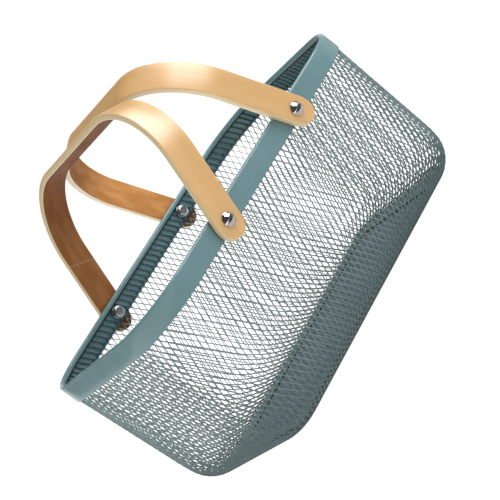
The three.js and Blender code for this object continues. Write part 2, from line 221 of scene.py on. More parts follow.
def loft(rings, closed):
    """Points and faces of equal rings joined in order. One that isn't closed gets a cap at each end."""
    points = [p for ring in rings for p in ring]
    count, size = len(rings), len(rings[0])
    faces = []
    for here in range(count if closed else count - 1):
        there = (here + 1) % count
        for k in range(size):
            after = (k + 1) % size
            faces.append([here * size + k, there * size + k, there * size + after, here * size + after])
    if not closed:
        faces.append(list(range(size)))
        faces.append(list(range((count - 1) * size, count * size))[::-1])
    return points, faces


# Rim outline and wall profiles
def outline_place(half_length, half_depth, radius, share):
    """Point on the outline through the corner centres of a rounded rectangle, and the outward angle there.

    The share of the outline runs anticlockwise from the middle of the front.
    """
    quarter = math.floor(4 * share)
    side, end, bend = half_length - radius, half_depth - radius, radius * math.pi / 2
    first, second = (side, end) if quarter % 2 == 0 else (end, side)
    run = (4 * share - quarter) * (side + bend + end)
    turn = min(max(run - first, 0) / radius, math.pi / 2)
    along, out = min(run, first), second - max(run - first - bend, 0)
    outward = (quarter - 1) * math.pi / 2
    x = -along * math.sin(outward) + out * math.cos(outward)
    y = along * math.cos(outward) + out * math.sin(outward)
    return x, y, outward + turn


def outline_length(half_length, half_depth, radius):
    return 4 * (half_length + half_depth) - (8 - 2 * math.pi) * radius


PERIMETER = outline_length(HALF_LENGTH, HALF_DEPTH, CORNER_RADIUS)
FOLD_RADIUS = BAND_SHEET + SEAT_GAP + MESH_ROOM / 2
COLLAR_OUT = -(BAND_SHEET + SEAT_GAP)
MESH_TOP = RIM_TOP - FOLD_RADIUS


def foot_top(foot):
    return foot * (1 - math.sin(DRAFT))


def foot_centre_out(foot):
    return COLLAR_OUT - (BAND_BOTTOM - foot_top(foot)) * math.tan(DRAFT) - foot * math.cos(DRAFT)


def face_at(foot, height):
    """Out from the rim outline and turn up from the base of a wall's outside face at a height."""
    if height < foot_top(foot):
        turn = math.acos(1 - height / foot)
        return foot_centre_out(foot) + foot * math.sin(turn), turn
    if height < BAND_BOTTOM:
        return COLLAR_OUT - (BAND_BOTTOM - height) * math.tan(DRAFT), math.pi / 2 - DRAFT
    return COLLAR_OUT, math.pi / 2


FOOT_RUN = SIDE_FOOT_RADIUS * (math.pi / 2 - DRAFT)
DRAFT_RUN = (BAND_BOTTOM - foot_top(SIDE_FOOT_RADIUS)) / math.cos(DRAFT)
WALL_RUN = FOOT_RUN + DRAFT_RUN + MESH_TOP - BAND_BOTTOM
BASE_OUT = (foot_centre_out(SIDE_FOOT_RADIUS) + foot_centre_out(END_FOOT_RADIUS)) / 2
CORNER_TIGHTENING = (CORNER_RADIUS + COLLAR_OUT - BASE_CORNER_RADIUS) / (COLLAR_OUT - BASE_OUT)


def wall_height(run):
    """Height on the walls by length run up a side from the edge of the flat base."""
    if run < FOOT_RUN:
        return SIDE_FOOT_RADIUS * (1 - math.cos(run / SIDE_FOOT_RADIUS))
    if run < FOOT_RUN + DRAFT_RUN:
        return foot_top(SIDE_FOOT_RADIUS) + (run - FOOT_RUN) * math.cos(DRAFT)
    return BAND_BOTTOM + run - FOOT_RUN - DRAFT_RUN


def tub_at(height):
    """Half length, half depth and corner radius of the outside at a height, and the walls' turns."""
    end_out, end_turn = face_at(END_FOOT_RADIUS, height)
    side_out, side_turn = face_at(SIDE_FOOT_RADIUS, height)
    radius = BASE_CORNER_RADIUS + ((end_out + side_out) / 2 - BASE_OUT) * CORNER_TIGHTENING
    return HALF_LENGTH + end_out, HALF_DEPTH + side_out, radius, end_turn, side_turn


def wall_point(run, height_run, lift):
    """Point on the walls by run round the rim and run up, lifted from the middle of the sheet.

    The mesh draws together towards the base, so a run is a share of the outline at each height.
    """
    height = wall_height(height_run)
    half_length, half_depth, radius, end_turn, side_turn = tub_at(height)
    x, y, outward = outline_place(half_length, half_depth, radius, run / PERIMETER)
    turn = side_turn + (end_turn - side_turn) * math.cos(outward) ** 2
    depth = MESH_ROOM / 2 - lift
    reach = radius - depth * math.sin(turn)
    return x + reach * math.cos(outward), y + reach * math.sin(outward), height + depth * math.cos(turn)


# Expanded mesh. Lattice lines cross the sheet both ways, and their crossings are by turns the middle of an
# opening and a knot. Each cell between four crossings holds one slanting strand, tilted out of the sheet.
SLANT = math.hypot(DIAMOND_HALF_WIDTH, DIAMOND_HALF_HEIGHT)


def lattice_lines(start, end, spacing):
    steps = 2 * round((end - start) / spacing / 2)
    return [start + (end - start) * k / steps for k in range(steps + 1)]


def knot_size(strand_width):
    """Half width and half height of the knot where strands of a width meet."""
    return strand_width / 2 * SLANT / DIAMOND_HALF_HEIGHT, strand_width / 2 * SLANT / DIAMOND_HALF_WIDTH


def strand_cells(columns, rows, knot):
    """Strands between the lattice lines, by column and row.

    knot(row) gives the half width and half height of a row's knots.
    """
    cells = {}
    for i, (left, right) in enumerate(zip(columns, columns[1:])):
        for j, (low, high) in enumerate(zip(rows, rows[1:])):
            (low_width, low_height), (high_width, high_height) = knot(low), knot(high)
            if (i + j) % 2 == 0:
                cells[i, j] = [
                    (left, low, 0), (left + low_width, low, 0), (right, high - high_height, 1),
                    (right, high, 0), (right - high_width, high, 0), (left, low + low_height, -1),
                ]
            else:
                cells[i, j] = [
                    (right, low, 0), (right, low + low_height, -1), (left + high_width, high, 0),
                    (left, high, 0), (left, high - high_height, 1), (right - low_width, low, 0),
                ]
    return cells


def border_cells(columns, rows, knot, below, above):
    """Strips beside the lowest and highest rows, out to the runs given, that share the strands' corners."""
    cells = []
    for row, runs in ((rows[0], below), (rows[-1], above)):
        parity = 0 if row == rows[0] else (len(rows) - 1) % 2
        width, _ = knot(row)
        for i, (start, end) in enumerate(zip(columns, columns[1:])):
            waist = start + width if (i + parity) % 2 == 0 else end - width
            near = [(end, row, 0), (waist, row, 0), (start, row, 0)]
            for run in runs:
                strip = [(start, run, 0), (end, run, 0), *near]
                cells.append(strip if run < row else strip[::-1])
                near = [(end, run, 0), (start, run, 0)]
    return cells


def end_border_cells(columns, rows, knot, width):
    """Strips along the first and last columns, with the corners of the frame that the four strips make."""
    cells = []
    stations = [rows[0] - width, *rows, rows[-1] + width]
    for column, edge in ((columns[0], columns[0] - width), (columns[-1], columns[-1] + width)):
        parity = 0 if column == columns[0] else (len(columns) - 1) % 2
        for j, (low, high) in enumerate(zip(stations, stations[1:])):
            strip = [(edge, low, 0), (column, low, 0), (column, high, 0), (edge, high, 0)]
            if 0 < j < len(stations) - 2:
                starts_on_knot = (j - 1 + parity) % 2 == 0
                waist = low + knot(low)[1] if starts_on_knot else high - knot(high)[1]
                strip.insert(2, (column, waist, -1 if starts_on_knot else 1))
            cells.append(strip if edge < column else strip[::-1])
    return cells


def sheet(cells, place, thickness, period=None):
    """Thickens cells that share corners into one closed sheet, and names the cell of each face.

    place(u, v, lift) gives a point in space, and thickness(v) the sheet's thickness. Points of the outer
    face have even numbers, and those of the inner face odd ones. A cell of six corners becomes two faces.
    """
    index_of, points, faces, owners, edges = {}, [], [], [], {}
    for owner, cell in enumerate(cells):
        ring = []
        for u, v, tilt in cell:
            key = (round(u % period if period else u, 3), round(v, 3))
            if period and key[0] == round(period, 3):
                key = (0.0, key[1])
            if key not in index_of:
                index_of[key] = len(points)
                lift, half = tilt * STRAND_TILT, thickness(v) / 2
                points += [place(u, v, lift + half), place(u, v, lift - half)]
            ring.append(index_of[key])
        halves = [ring[:4], [ring[0], *ring[3:]]] if len(ring) == 6 else [ring]
        for part in halves:
            faces += [part, [k + 1 for k in reversed(part)]]
            owners += [owner, owner]
        for a, b in zip(ring, ring[1:] + ring[:1]):
            edges[a, b] = owner
    for (a, b), owner in edges.items():
        if (b, a) not in edges:
            faces.append([a, a + 1, b + 1, b])
            owners.append(owner)
    return points, faces, owners


def foot_share(run):
    """1 at the edge of the flat base, and 0 from a run up the wall on."""
    return max(0, 1 - run / FOOT_GAIN_RUN) ** 2


COLLAR_RUN = FOOT_RUN + DRAFT_RUN


def wall_knot(run):
    half_length, half_depth, radius, _, _ = tub_at(wall_height(run))
    strand_width = STRAND_WIDTH * (1 + FOOT_STRAND_GAIN * foot_share(run))
    width, height = knot_size(RIB_WIDTH if run > COLLAR_RUN else strand_width)
    return width * PERIMETER / outline_length(half_length, half_depth, radius), height


def wall_sheet(run):
    return STRAND_SHEET + (FOOT_SHEET - STRAND_SHEET) * foot_share(run)


def wall_net(material, rib_shade_material):
    """The walls. Inside the band only the strands that lean one way stand clear of it, painted dark as shade.

    The strands that cross the band's lower edge get the same painted shade, except on their outer faces.
    """
    columns = lattice_lines(0, PERIMETER, DIAMOND_HALF_WIDTH)
    rows = lattice_lines(WALL_BORDER, WALL_RUN - WALL_BORDER, DIAMOND_HALF_HEIGHT)
    rows = rows[FOOT_STRIP_ROWS:]
    strands = strand_cells(columns, rows, wall_knot)
    edge_row = max(j for j, row in enumerate(rows) if row <= COLLAR_RUN)
    ribs = [cell for (i, j), cell in strands.items() if j > edge_row and (i + j) % 2 == 0]
    edge_strands = [cell for (_, j), cell in strands.items() if j == edge_row]
    open_strands = [cell for (_, j), cell in strands.items() if j < edge_row]
    below = [rows[0] * (1 - k / FOOT_STRIP_STEPS) for k in range(1, FOOT_STRIP_STEPS + 1)]
    borders = border_cells(columns, rows, wall_knot, below, [WALL_RUN])
    cells = ribs + edge_strands + open_strands + borders
    points, faces, owners = sheet(cells, wall_point, wall_sheet, PERIMETER)
    obj = make_piece("wall_net", points, faces, material, "mesh_paint", "basket", NETS, sharp=None)
    obj.data.materials.append(rib_shade_material)
    for polygon, owner in zip(obj.data.polygons, owners):
        on_outer_face = all(k % 2 == 0 for k in polygon.vertices)
        on_edge = owner < len(ribs) + len(edge_strands) and not on_outer_face
        polygon.material_index = 1 if owner < len(ribs) or on_edge else 0


def base_outline(end_inset, side_inset):
    """Half length and half depth of an outline inside the flat base."""
    half_length = HALF_LENGTH + foot_centre_out(END_FOOT_RADIUS) - end_inset
    half_depth = HALF_DEPTH + foot_centre_out(SIDE_FOOT_RADIUS) - side_inset
    return half_length, half_depth


def base_strip(material):
    """The plain strip between the foot and the seam."""
    outer, inner = base_outline(SEAT_GAP, SEAT_GAP), base_outline(SEAM_END_INSET, SEAM_SIDE_INSET)
    rings = []
    for k in range(STRIP_STEPS):
        edges = []
        for half_length, half_depth in (outer, inner):
            x, y, outward = outline_place(half_length, half_depth, BASE_CORNER_RADIUS, k / STRIP_STEPS)
            x += BASE_CORNER_RADIUS * math.cos(outward)
            y += BASE_CORNER_RADIUS * math.sin(outward)
            edges.append((x, y))
        heights = (BASE_LIFT - BASE_SHEET / 2, BASE_LIFT + BASE_SHEET / 2 + STRIP_RISE)
        low, high = [[(x, y, height) for x, y in edges] for height in heights]
        rings.append([*low, *reversed(high)])
    points, faces = loft(rings, closed=True)
    obj = make_piece("base_strip", points, faces, material, "mesh_paint", "basket", ["mesh_base"], sharp=None)
    face_outwards(obj)


def base_net(material):
    """The flat base inside the seam, with its corners drawn in to a round."""
    half_length, half_depth = base_outline(SEAM_END_INSET + SEAT_GAP, SEAM_SIDE_INSET + SEAT_GAP)
    radius = BASE_CORNER_RADIUS - SEAT_GAP
    across, along = half_length - BASE_BORDER, half_depth - BASE_BORDER
    columns = lattice_lines(-across, across, DIAMOND_HALF_WIDTH)
    rows = lattice_lines(-along, along, DIAMOND_HALF_HEIGHT)

    def knot(_):
        return knot_size(BASE_STRAND_WIDTH)

    cells = list(strand_cells(columns, rows, knot).values())
    cells += border_cells(columns, rows, knot, [-half_depth], [half_depth])
    cells += end_border_cells(columns, rows, knot, BASE_BORDER)

    def place(u, v, lift):
        x = max(0, abs(u) - half_length + radius) / radius
        y = max(0, abs(v) - half_depth + radius) / radius
        drawn_x = abs(u) - radius * x * (1 - math.sqrt(1 - y * y / 2))
        drawn_y = abs(v) - radius * y * (1 - math.sqrt(1 - x * x / 2))
        return math.copysign(drawn_x, u), math.copysign(drawn_y, v), BASE_LIFT + lift

    points, faces, _ = sheet(cells, place, lambda _: BASE_SHEET)
    make_piece("base_net", points, faces, material, "mesh_paint", "basket", ["mesh_base"], sharp=None)


def base_shade_slots(material):
    """Dark boxes of painted shade in the inner edge of the plain strip."""
    half_length, half_depth = base_outline(SEAM_END_INSET, SEAM_SIDE_INSET)
    length = outline_length(half_length, half_depth, BASE_CORNER_RADIUS)
    count = round(length / (2 * DIAMOND_HALF_WIDTH))
    rise = Vector((0, 0, STRIP_RISE - 2 * SLOT_MARGIN))
    points, faces = [], []
    for k in range(count):
        x, y, outward = outline_place(half_length, half_depth, BASE_CORNER_RADIUS, k / count)
        across = Vector((math.cos(outward), math.sin(outward), 0))
        along = Vector((-across.y, across.x, 0))
        middle = Vector((x, y, BASE_LIFT + BASE_SHEET / 2 + SLOT_MARGIN)) + across * BASE_CORNER_RADIUS
        ring = [
            middle + along * (i * SLOT_LENGTH / 2) - across * (j * SLOT_DEPTH)
            for i, j in ((-1, 0), (1, 0), (1, 1), (-1, 1))
        ]
        box, sides = loft([ring, [p + rise for p in ring]], closed=False)
        faces += [[len(points) + v for v in face] for face in sides]
        points += box
    obj = make_piece("base_shade_slots", points, faces, material, "mesh_paint", "basket", ["mesh_base"], sharp=None)
    face_outwards(obj)


# Rim band: outer leg, round fold over the mesh and a short lip inside
def arc(centre, radius, start, end, steps):
    """Points of an arc between two angles in degrees."""
    turns = [math.radians(start + (end - start) * k / steps) for k in range(steps + 1)]
    return [(centre[0] + radius * math.cos(t), centre[1] + radius * math.sin(t)) for t in turns]


def band_section():
    """Outline of the folded strip, as (out from the rim outline, height)."""
    fold = (-FOLD_RADIUS, MESH_TOP)
    lip_radius = BAND_SHEET / 2
    lip = (-2 * FOLD_RADIUS + lip_radius, RIM_TOP - BAND_LIP + lip_radius)
    return [
        *arc((-BAND_EDGE, BAND_BOTTOM + BAND_EDGE), BAND_EDGE, -90, 0, BAND_EDGE_STEPS),
        *arc(fold, FOLD_RADIUS, 0, 180, 2 * FOLD_STEPS),
        *arc(lip, lip_radius, 180, 360, LIP_EDGE_STEPS),
        *arc(fold, FOLD_RADIUS - BAND_SHEET, 180, 0, FOLD_STEPS),
        (-BAND_SHEET, BAND_BOTTOM),
    ]


def round_the_rim(section):
    """Rings of a section carried round the rim."""
    rings = []
    for quarter, (x, y) in enumerate(((1, -1), (1, 1), (-1, 1), (-1, -1))):
        centre_x, centre_y = x * (HALF_LENGTH - CORNER_RADIUS), y * (HALF_DEPTH - CORNER_RADIUS)
        for k in range(CORNER_STEPS + 1):
            outward = (quarter - 1 + k / CORNER_STEPS) * math.pi / 2
            out_x, out_y = math.cos(outward), math.sin(outward)
            ring = []
            for out, height in section:
                reach = CORNER_RADIUS + out
                ring.append((centre_x + reach * out_x, centre_y + reach * out_y, height))
            rings.append(ring)
    return rings


def rim_piece(name, section, material):
    points, faces = loft(round_the_rim(section), closed=True)
    obj = make_piece(name, points, faces, material, "band_paint", "basket", ["rim_band"], BAND_SHARP_ANGLE)
    face_outwards(obj)


def rim_band(material):
    rim_piece("band", band_section(), material)


def lip_shadow_ring(material):
    """A dark ring under the band's lip, against the inside of the mesh: a painted shadow."""
    high = RIM_TOP - BAND_LIP
    low = high - LIP_SHADOW_HEIGHT
    outer = COLLAR_OUT - MESH_ROOM - LIP_SHADOW_GAP
    inner = outer - LIP_SHADOW_DEPTH
    rim_piece("lip_shadow_ring", [(outer, low), (outer, high), (inner, high), (inner, low)], material)


# Handles
def strip_section(half_width):
    """Across, depth and edge share of a round-edged strip's outline."""
    edge = min(HANDLE_EDGE, HANDLE_EDGE_LIMIT * half_width)
    width, depth = half_width - edge, HANDLE_THICKNESS / 2 - edge
    outline = []
    for sign_x, sign_d, start in ((1, 1, 0), (-1, 1, 90), (-1, -1, 180), (1, -1, 270)):
        centre = (sign_x * width, sign_d * depth)
        for across, deep in arc(centre, edge, start, start + 90, HANDLE_EDGE_STEPS):
            share = (abs(across) - width) / edge
            outline.append((across, deep, share))
    return outline


def bow_stations():
    """Centre (y, z), outward angle and half width of the strip from one round end to the other."""
    half_width = HANDLE_WIDTH / 2
    arm = HALF_DEPTH + SWING_GAP + HANDLE_THICKNESS / 2
    centre_y = HALF_DEPTH + SWING_GAP + HANDLE_THICKNESS - HANDLE_BEND_RADIUS
    centre_z = HANDLE_REACH - HANDLE_BEND_RADIUS
    radius = HANDLE_BEND_RADIUS - HANDLE_THICKNESS / 2
    stations = []
    for k in range(1, END_STEPS + 1):
        turn = math.pi / 2 * k / END_STEPS
        width = half_width * math.sin(turn) ** HANDLE_END_FULLNESS
        stations.append((arm, -HANDLE_END_RADIUS * math.cos(turn) ** HANDLE_END_FULLNESS, 0, width))
    for k in range(BEND_STEPS + 1):
        turn = math.pi / 2 * k / BEND_STEPS
        y, z = centre_y + radius * math.cos(turn), centre_z + radius * math.sin(turn)
        stations.append((y, z, turn, half_width))
    mirrored = [(-y, z, math.pi - turn, width) for y, z, turn, width in reversed(stations)]
    return stations + mirrored


def handle(side, sign, arm_shade, grip_shade, material, inside_material):
    """A handle in its rest pose, with four attributes that its materials read.

    grain is the run along the strip, the place across it and the depth in it, edge the share of the rounded
    edge, shade how far the inner face is painted darker as shade, and splice the height over the splice line,
    or far from it.
    """
    low, high = node_box(f"sleeve_nut_front_{side}")
    pivot = (low + high) / 2
    reach_in = abs(pivot.x) - sign * GRIP_MEETING_X - SEAT_GAP / 2
    slant = math.hypot(HANDLE_REACH, HANDLE_WIDTH / 2)
    lean = math.asin(reach_in / slant) - math.atan2(HANDLE_WIDTH / 2, HANDLE_REACH)
    place = Matrix.Translation((pivot.x, 0, pivot.z)) @ Matrix.Rotation(-sign * lean, 4, "Y")
    rings, grain, edge, shade, splice = [], [], [], [], []
    run = 0
    last = None
    for y, z, turn, half_width in bow_stations():
        run += math.dist(last, (y, z)) if last else 0
        last = (y, z)
        up = min(max(0, z - GRIP_SHADE_FROM) / GRIP_SHADE_RUN, 1)
        down = min(max(0, END_SHADE_FROM - z) / END_SHADE_RUN, 1)
        painted_shade = max(arm_shade + (grip_shade - arm_shade) * up, down)
        spliced = side == "left" and y > 0
        ring = []
        for across, depth, share in strip_section(half_width):
            point = Vector((across, y + depth * math.cos(turn), z + depth * math.sin(turn)))
            ring.append(place @ point)
            grain.append((run, across, depth))
            edge.append(share)
            shade.append(painted_shade)
            splice.append(z + SPLICE_SLANT * across - SPLICE_UP if spliced else HANDLE_REACH)
        rings.append(ring)
    points, faces = loft(rings, closed=False)
    name = f"handle_{side}"
    obj = make_piece(f"bentwood_{side}", points, faces, material, "birch", name, [name], HANDLE_SHARP_ANGLE)
    face_outwards(obj)
    coordinates = obj.data.attributes.new("grain", "FLOAT_VECTOR", "POINT")
    coordinates.data.foreach_set("vector", [v for g in grain for v in g])
    for kind, values in (("edge", edge), ("shade", shade), ("splice", splice)):
        obj.data.attributes.new(kind, "FLOAT", "POINT").data.foreach_set("value", values)
    obj.data.materials.append(inside_material)
    inner = INNER_FACE_DEPTH - HANDLE_THICKNESS / 2
    for polygon in obj.data.polygons:
        if all(grain[k][2] < inner for k in polygon.vertices):
            polygon.material_index = 1


# Pivot hardware, turned about its own Z and then laid along Y
def turned(profile):
    """Points and faces of a turned profile of (radius, height).

    The profile starts and ends on the axis, at radius 0, or closes on itself.
    """
    points, rows = [], []
    for radius, height in profile:
        if radius == 0:
            rows.append([len(points)])
            points.append((0, 0, height))
            continue
        rows.append(list(range(len(points), len(points) + TURN_STEPS)))
        for k in range(TURN_STEPS):
            turn = 2 * math.pi * k / TURN_STEPS
            points.append((radius * math.cos(turn), radius * math.sin(turn), height))
    faces = []
    for row, after in zip(rows, rows[1:]):
        for k in range(TURN_STEPS):
            near = [row[k % len(row)], row[(k + 1) % len(row)]]
            far = [after[(k + 1) % len(after)], after[k % len(after)]]
            faces.append(list(dict.fromkeys(near + far)))
    return points, faces


def stack_place(face, pivot):
    """Matrix that lays a turned piece on the pivot, with z = 0 on the outside of the band and +z outwards."""
    sign = -1 if face == "front" else 1
    seat = Matrix.Translation((pivot.x, sign * HALF_DEPTH, pivot.z))
    return seat @ Matrix.Rotation(-sign * math.pi / 2, 4, "X")


DOME_SEAT = SWING_GAP + HANDLE_THICKNESS + SEAT_GAP
WASHER_OUTER = -(BAND_SHEET + SEAT_GAP + MESH_ROOM + SEAT_GAP)
HEAD_SEAT = WASHER_OUTER - WASHER_THICKNESS - SEAT_GAP
HEAD_TOP = HEAD_SEAT - SCREW_HEAD_HEIGHT


def dome_profile():
    cap = DOME_HEIGHT - DOME_EDGE
    half = DOME_DIAMETER / 2
    radius = (half**2 + cap**2) / (2 * cap)
    turn = math.degrees(math.asin(half / radius))
    centre = (0, DOME_SEAT + DOME_HEIGHT - radius)
    seat = [(0, DOME_SEAT), (half - DOME_CHAMFER, DOME_SEAT), (half, DOME_SEAT + DOME_CHAMFER)]
    rise = arc(centre, radius, 90 - turn, 90, DOME_STEPS)
    return [*seat, *rise[:-1], (0, DOME_SEAT + DOME_HEIGHT)]


def head_profile():
    half = SCREW_HEAD_DIAMETER / 2
    crown = []
    for k in range(CROWN_STEPS + 1):
        turn = math.pi / 2 * k / CROWN_STEPS
        radius = half * (SCREW_HEAD_FLAT_SHARE + (1 - SCREW_HEAD_FLAT_SHARE) * math.sin(turn))
        crown.append((radius, HEAD_TOP + SCREW_HEAD_CROWN * (1 - math.cos(turn))))
    return [(0, HEAD_TOP), *crown, (half, HEAD_SEAT), (0, HEAD_SEAT)]


def washer_profile():
    outer, inner, edge = WASHER_DIAMETER / 2, WASHER_HOLE / 2, WASHER_EDGE
    low, high = WASHER_OUTER - WASHER_THICKNESS, WASHER_OUTER
    return [
        (inner, low), (outer - edge, low), (outer, low + edge), (outer, high - edge), (outer - edge, high),
        (inner, high), (inner, low),
    ]


def cut_cross(obj, place):
    """Cuts the cross slot into a screw head."""
    size = Vector((CROSS_SLOT_LENGTH, CROSS_SLOT_WIDTH, 2 * CROSS_SLOT_DEPTH)) * MM
    for turn in (0, math.pi / 2):
        bpy.ops.mesh.primitive_cube_add(size=1)
        cutter = bpy.context.object
        cutter.data.transform(Matrix.Diagonal((*size, 1)))
        world = place @ (Matrix.Translation((0, 0, HEAD_TOP)) @ Matrix.Rotation(turn, 4, "Z"))
        world.translation = world.translation * MM
        cutter.data.transform(world)
        modifier = obj.modifiers.new("slot", "BOOLEAN")
        modifier.operation = "DIFFERENCE"
        modifier.solver = "EXACT"
        modifier.object = cutter
        graph = bpy.context.evaluated_depsgraph_get()
        cut = bpy.data.meshes.new_from_object(obj.evaluated_get(graph))
        obj.modifiers.clear()
        obj.data = cut
        bpy.data.objects.remove(cutter)
    obj.data.set_sharp_from_angle(angle=math.radians(SHARP_ANGLE))


def pivot_hardware(face, side, chrome, zinc):
    """Dome, screw head and washer of one pivot."""
    low, high = node_box(f"sleeve_nut_{face}_{side}")
    place = stack_place(face, (low + high) / 2)
    for name, node, profile, material, slot in (
        ("dome", "sleeve_nut", dome_profile(), chrome, "dome_chrome"),
        ("screw_head", "screw", head_profile(), zinc, "screw_zinc"),
        ("seat_washer", "washer", washer_profile(), zinc, "screw_zinc"),
    ):
        points, faces = turned(profile)
        placed = [place @ Vector(p) for p in points]
        nodes = [f"{node}_{face}_{side}"]
        obj = make_piece(f"{name}_{face}_{side}", placed, faces, material, slot, "basket", nodes)
        face_outwards(obj)
        if name == "screw_head":
            cut_cross(obj, place)


# Nodes of materials and of the world
def set_inputs(node, **values):
    """Sets inputs of a node by name, with _ for each space."""
    for name, value in values.items():
        node.inputs[name.replace("_", " ")].default_value = value


def new_material(name, colour, roughness, **more):
    material = bpy.data.materials.new(name)
    material.use_nodes = True
    shader = material.node_tree.nodes["Principled BSDF"]
    set_inputs(shader, Base_Color=(*colour, 1), Roughness=roughness, **more)
    return material, shader


def add_node(material, kind, **values):
    node = material.node_tree.nodes.new(kind)
    set_inputs(node, **values)
    return node


def feed(material, target, value):
    """Links a socket to an input, or sets the input to a number or a colour."""
    if isinstance(value, tuple):
        target.default_value = (*value, 1)
    elif isinstance(value, float):
        target.default_value = value
    else:
        material.node_tree.links.new(value, target)


def mix_colours(material, factor, first, second):
    """Colour that goes from first to second with the factor socket. Each is a colour or a socket."""
    mix = add_node(material, "ShaderNodeMix")
    mix.data_type = "RGBA"
    feed(material, mix.inputs["Factor"], factor)
    for name, value in (("A", first), ("B", second)):
        feed(material, next(s for s in mix.inputs if s.name == name and s.type == "RGBA"), value)
    return next(s for s in mix.outputs if s.type == "RGBA")


def calculate(material, operation, *values):
    """Result of a math node on numbers or sockets."""
    node = add_node(material, "ShaderNodeMath")
    node.operation = operation
    for target, value in zip(node.inputs, values):
        feed(material, target, value)
    return node.outputs["Value"]


def component(material, vector, axis):
    parts = add_node(material, "ShaderNodeSeparateXYZ")
    feed(material, parts.inputs["Vector"], vector)
    return parts.outputs[axis]


def between(material, socket, low, high):
    """Share of the way from low to high, smoothed and kept from 0 to 1."""
    ramp = add_node(material, "ShaderNodeMapRange", From_Min=low, From_Max=high)
    ramp.interpolation_type = "SMOOTHSTEP"
    feed(material, ramp.inputs["Value"], socket)
    return ramp.outputs["Result"]


def noise(material, vector, scale, detail=2.0):
    texture = add_node(material, "ShaderNodeTexNoise", Scale=scale, Detail=detail)
    feed(material, texture.inputs["Vector"], vector)
    return texture.outputs["Fac"]


def bump(material, shader, height, strength, distance):
    node = add_node(material, "ShaderNodeBump", Strength=strength, Distance=distance)
    feed(material, node.inputs["Height"], height)
    feed(material, shader.inputs["Normal"], node.outputs["Normal"])


def attribute(material, name, output):
    node = add_node(material, "ShaderNodeAttribute")
    node.attribute_name = name
    return node.outputs[output]


# Paint: gloss, broad tone and fine grain. Scales are per metre, and depths are metres.
PAINT_SPECULAR = 0.25
PAINT_COAT_ROUGHNESS = 0.14
PAINT_TONE_SCALE = 45.0
PAINT_TONE_LIMITS = (0.3, 0.7)
PAINT_GRAIN_SCALE = 2600.0
PAINT_GRAIN_STRENGTH = 0.12
PAINT_GRAIN_DEPTH = 0.0001
# Painted shadow on the undersides along the edge of the foot
UNDERSIDE_SHADOW_COLOUR = (0.03, 0.045, 0.047)


def shade_foot(material, colour, foot_shade_colour, place):
    """Painted shade towards the base, and a painted shadow on undersides along the foot's edge."""
    height = component(material, place, "Z")
    up = between(material, height, FOOT_SHADE_LOW * MM, FOOT_SHADE_TOP * MM)
    colour = mix_colours(material, up, foot_shade_colour, colour)
    normal = add_node(material, "ShaderNodeNewGeometry").outputs["Normal"]
    underside = between(material, component(material, normal, "Z"), UNDERSIDE_FROM, UNDERSIDE_FULL)
    shaded = mix_colours(material, underside, colour, UNDERSIDE_SHADOW_COLOUR)
    lowest = between(material, height, EDGE_SHADE_TOP * MM, EDGE_SHADE_LOW * MM)
    return mix_colours(material, lowest, colour, shaded)


def powder_coat(name, dark, light, roughness, coat=0.0, foot=None):
    """Paint that varies from a dark to a light tone. With a foot colour it gets painted shade towards the
    base.
    """
    material, shader = new_material(name, light, roughness)
    set_inputs(
        shader, Specular_IOR_Level=PAINT_SPECULAR, Coat_Weight=coat, Coat_Roughness=PAINT_COAT_ROUGHNESS
    )
    place = add_node(material, "ShaderNodeTexCoord").outputs["Object"]
    tone = between(material, noise(material, place, PAINT_TONE_SCALE), *PAINT_TONE_LIMITS)
    colour = mix_colours(material, tone, dark, light)
    if foot:
        colour = shade_foot(material, colour, foot, place)
    feed(material, shader.inputs["Base Color"], colour)
    grain = noise(material, place, PAINT_GRAIN_SCALE)
    bump(material, shader, grain, PAINT_GRAIN_STRENGTH, PAINT_GRAIN_DEPTH)
    return material


# Wood: tones of the lacquered faces, of the edges and of the inner faces, and the painted shade on the inner
# faces
FACE_TONES = (0.64, 0.36, 0.12), (0.68, 0.405, 0.152)
FACE_STREAK = (0.55, 0.295, 0.1)
FACE_PORE = (0.53, 0.27, 0.088)
PLY_TONES = (0.74, 0.58, 0.33), (0.67, 0.51, 0.27)
ORANGE_TONES = (0.515, 0.22, 0.067), (0.63, 0.315, 0.114)
SHADED_BROWN_TONES = (0.165, 0.062, 0.023), (0.21, 0.082, 0.032)
INSIDE_STREAK = (0.2, 0.07, 0.022)
SPLICE_TONE = (0.32, 0.18, 0.095)
STREAK_STRENGTH = 0.05
STREAK_DEPTH = 0.0002


def figure(material, grain, along, across, depth, detail=2.0):
    """Noise with its scale along the grain, across it and in depth, per millimetre."""
    stretched = add_node(material, "ShaderNodeVectorMath")
    stretched.operation = "MULTIPLY"
    feed(material, stretched.inputs[0], grain)
    stretched.inputs[1].default_value = (along, across, depth)
    return noise(material, stretched.outputs["Vector"], 1.0, detail)


def long_streaks(material, grain):
    return figure(material, grain, along=0.02, across=0.9, depth=0.9, detail=4.0)


def plies(material, grain):
    """Share of the cross-laid plies that show at the strip's edges."""
    waves = 2 * math.pi / (HANDLE_THICKNESS * 2 / PLY_COUNT)
    wave = calculate(material, "MULTIPLY", component(material, grain, "Z"), waves)
    return between(material, calculate(material, "COSINE", wave), 0.1, -0.5)


